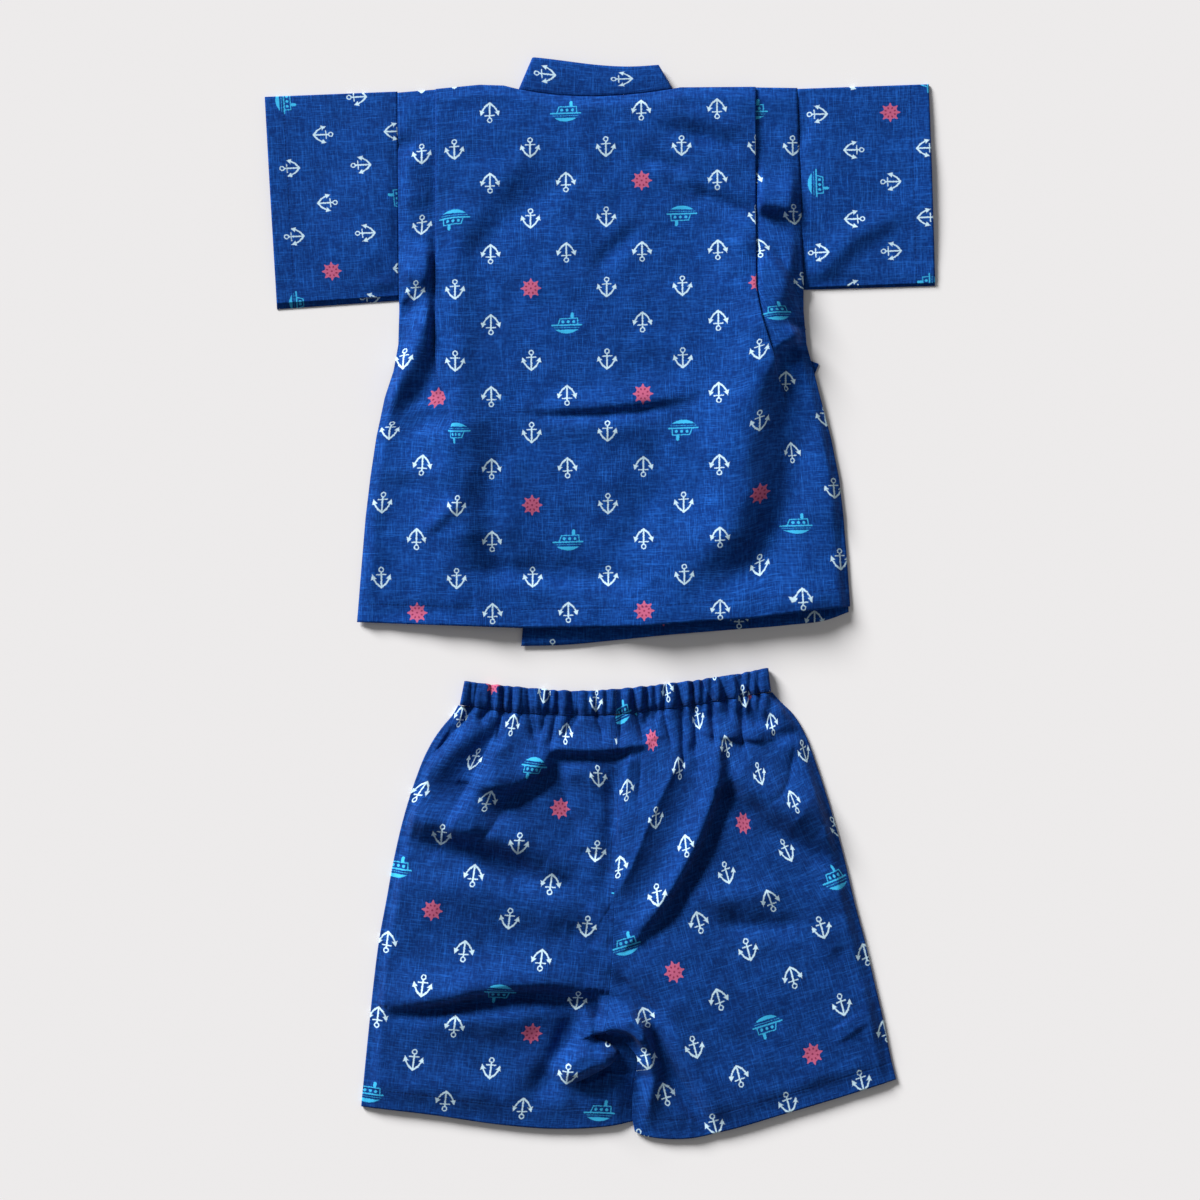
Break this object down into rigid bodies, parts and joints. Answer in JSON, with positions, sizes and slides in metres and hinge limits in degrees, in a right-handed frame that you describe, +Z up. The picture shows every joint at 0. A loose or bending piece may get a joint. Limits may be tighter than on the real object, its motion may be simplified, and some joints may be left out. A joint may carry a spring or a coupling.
{
  "type": "jinbei set",
  "caption": "Child's short-sleeved cotton jinbei jacket with crossed fronts, and matching shorts with a gathered waistband, laid flat back side up.",
  "frame": {"origin": "on the surface that the set lies on, below the middle of its overall box", "axes": "+Z up from the surface to the garments' back sides, +Y from the shorts' hems to the jacket's collar, +X to the wearer's right as the set lies"},
  "size_m": [0.5024, 0.8098, 0.0153],
  "materials": {
    "jacket_cloth": "matt slub cotton",
    "shorts_cloth": "matt slub cotton"
  },
  "bodies": {
    "root": {"jacket_back": "jacket_cloth", "jacket_front_left": "jacket_cloth", "jacket_front_right": "jacket_cloth", "sleeve_left": "jacket_cloth", "sleeve_right": "jacket_cloth", "collar": "jacket_cloth", "tie": "jacket_cloth", "shorts_leg_left": "shorts_cloth", "shorts_leg_right": "shorts_cloth", "shorts_waistband": "shorts_cloth"}
  },
  "joints": []
}
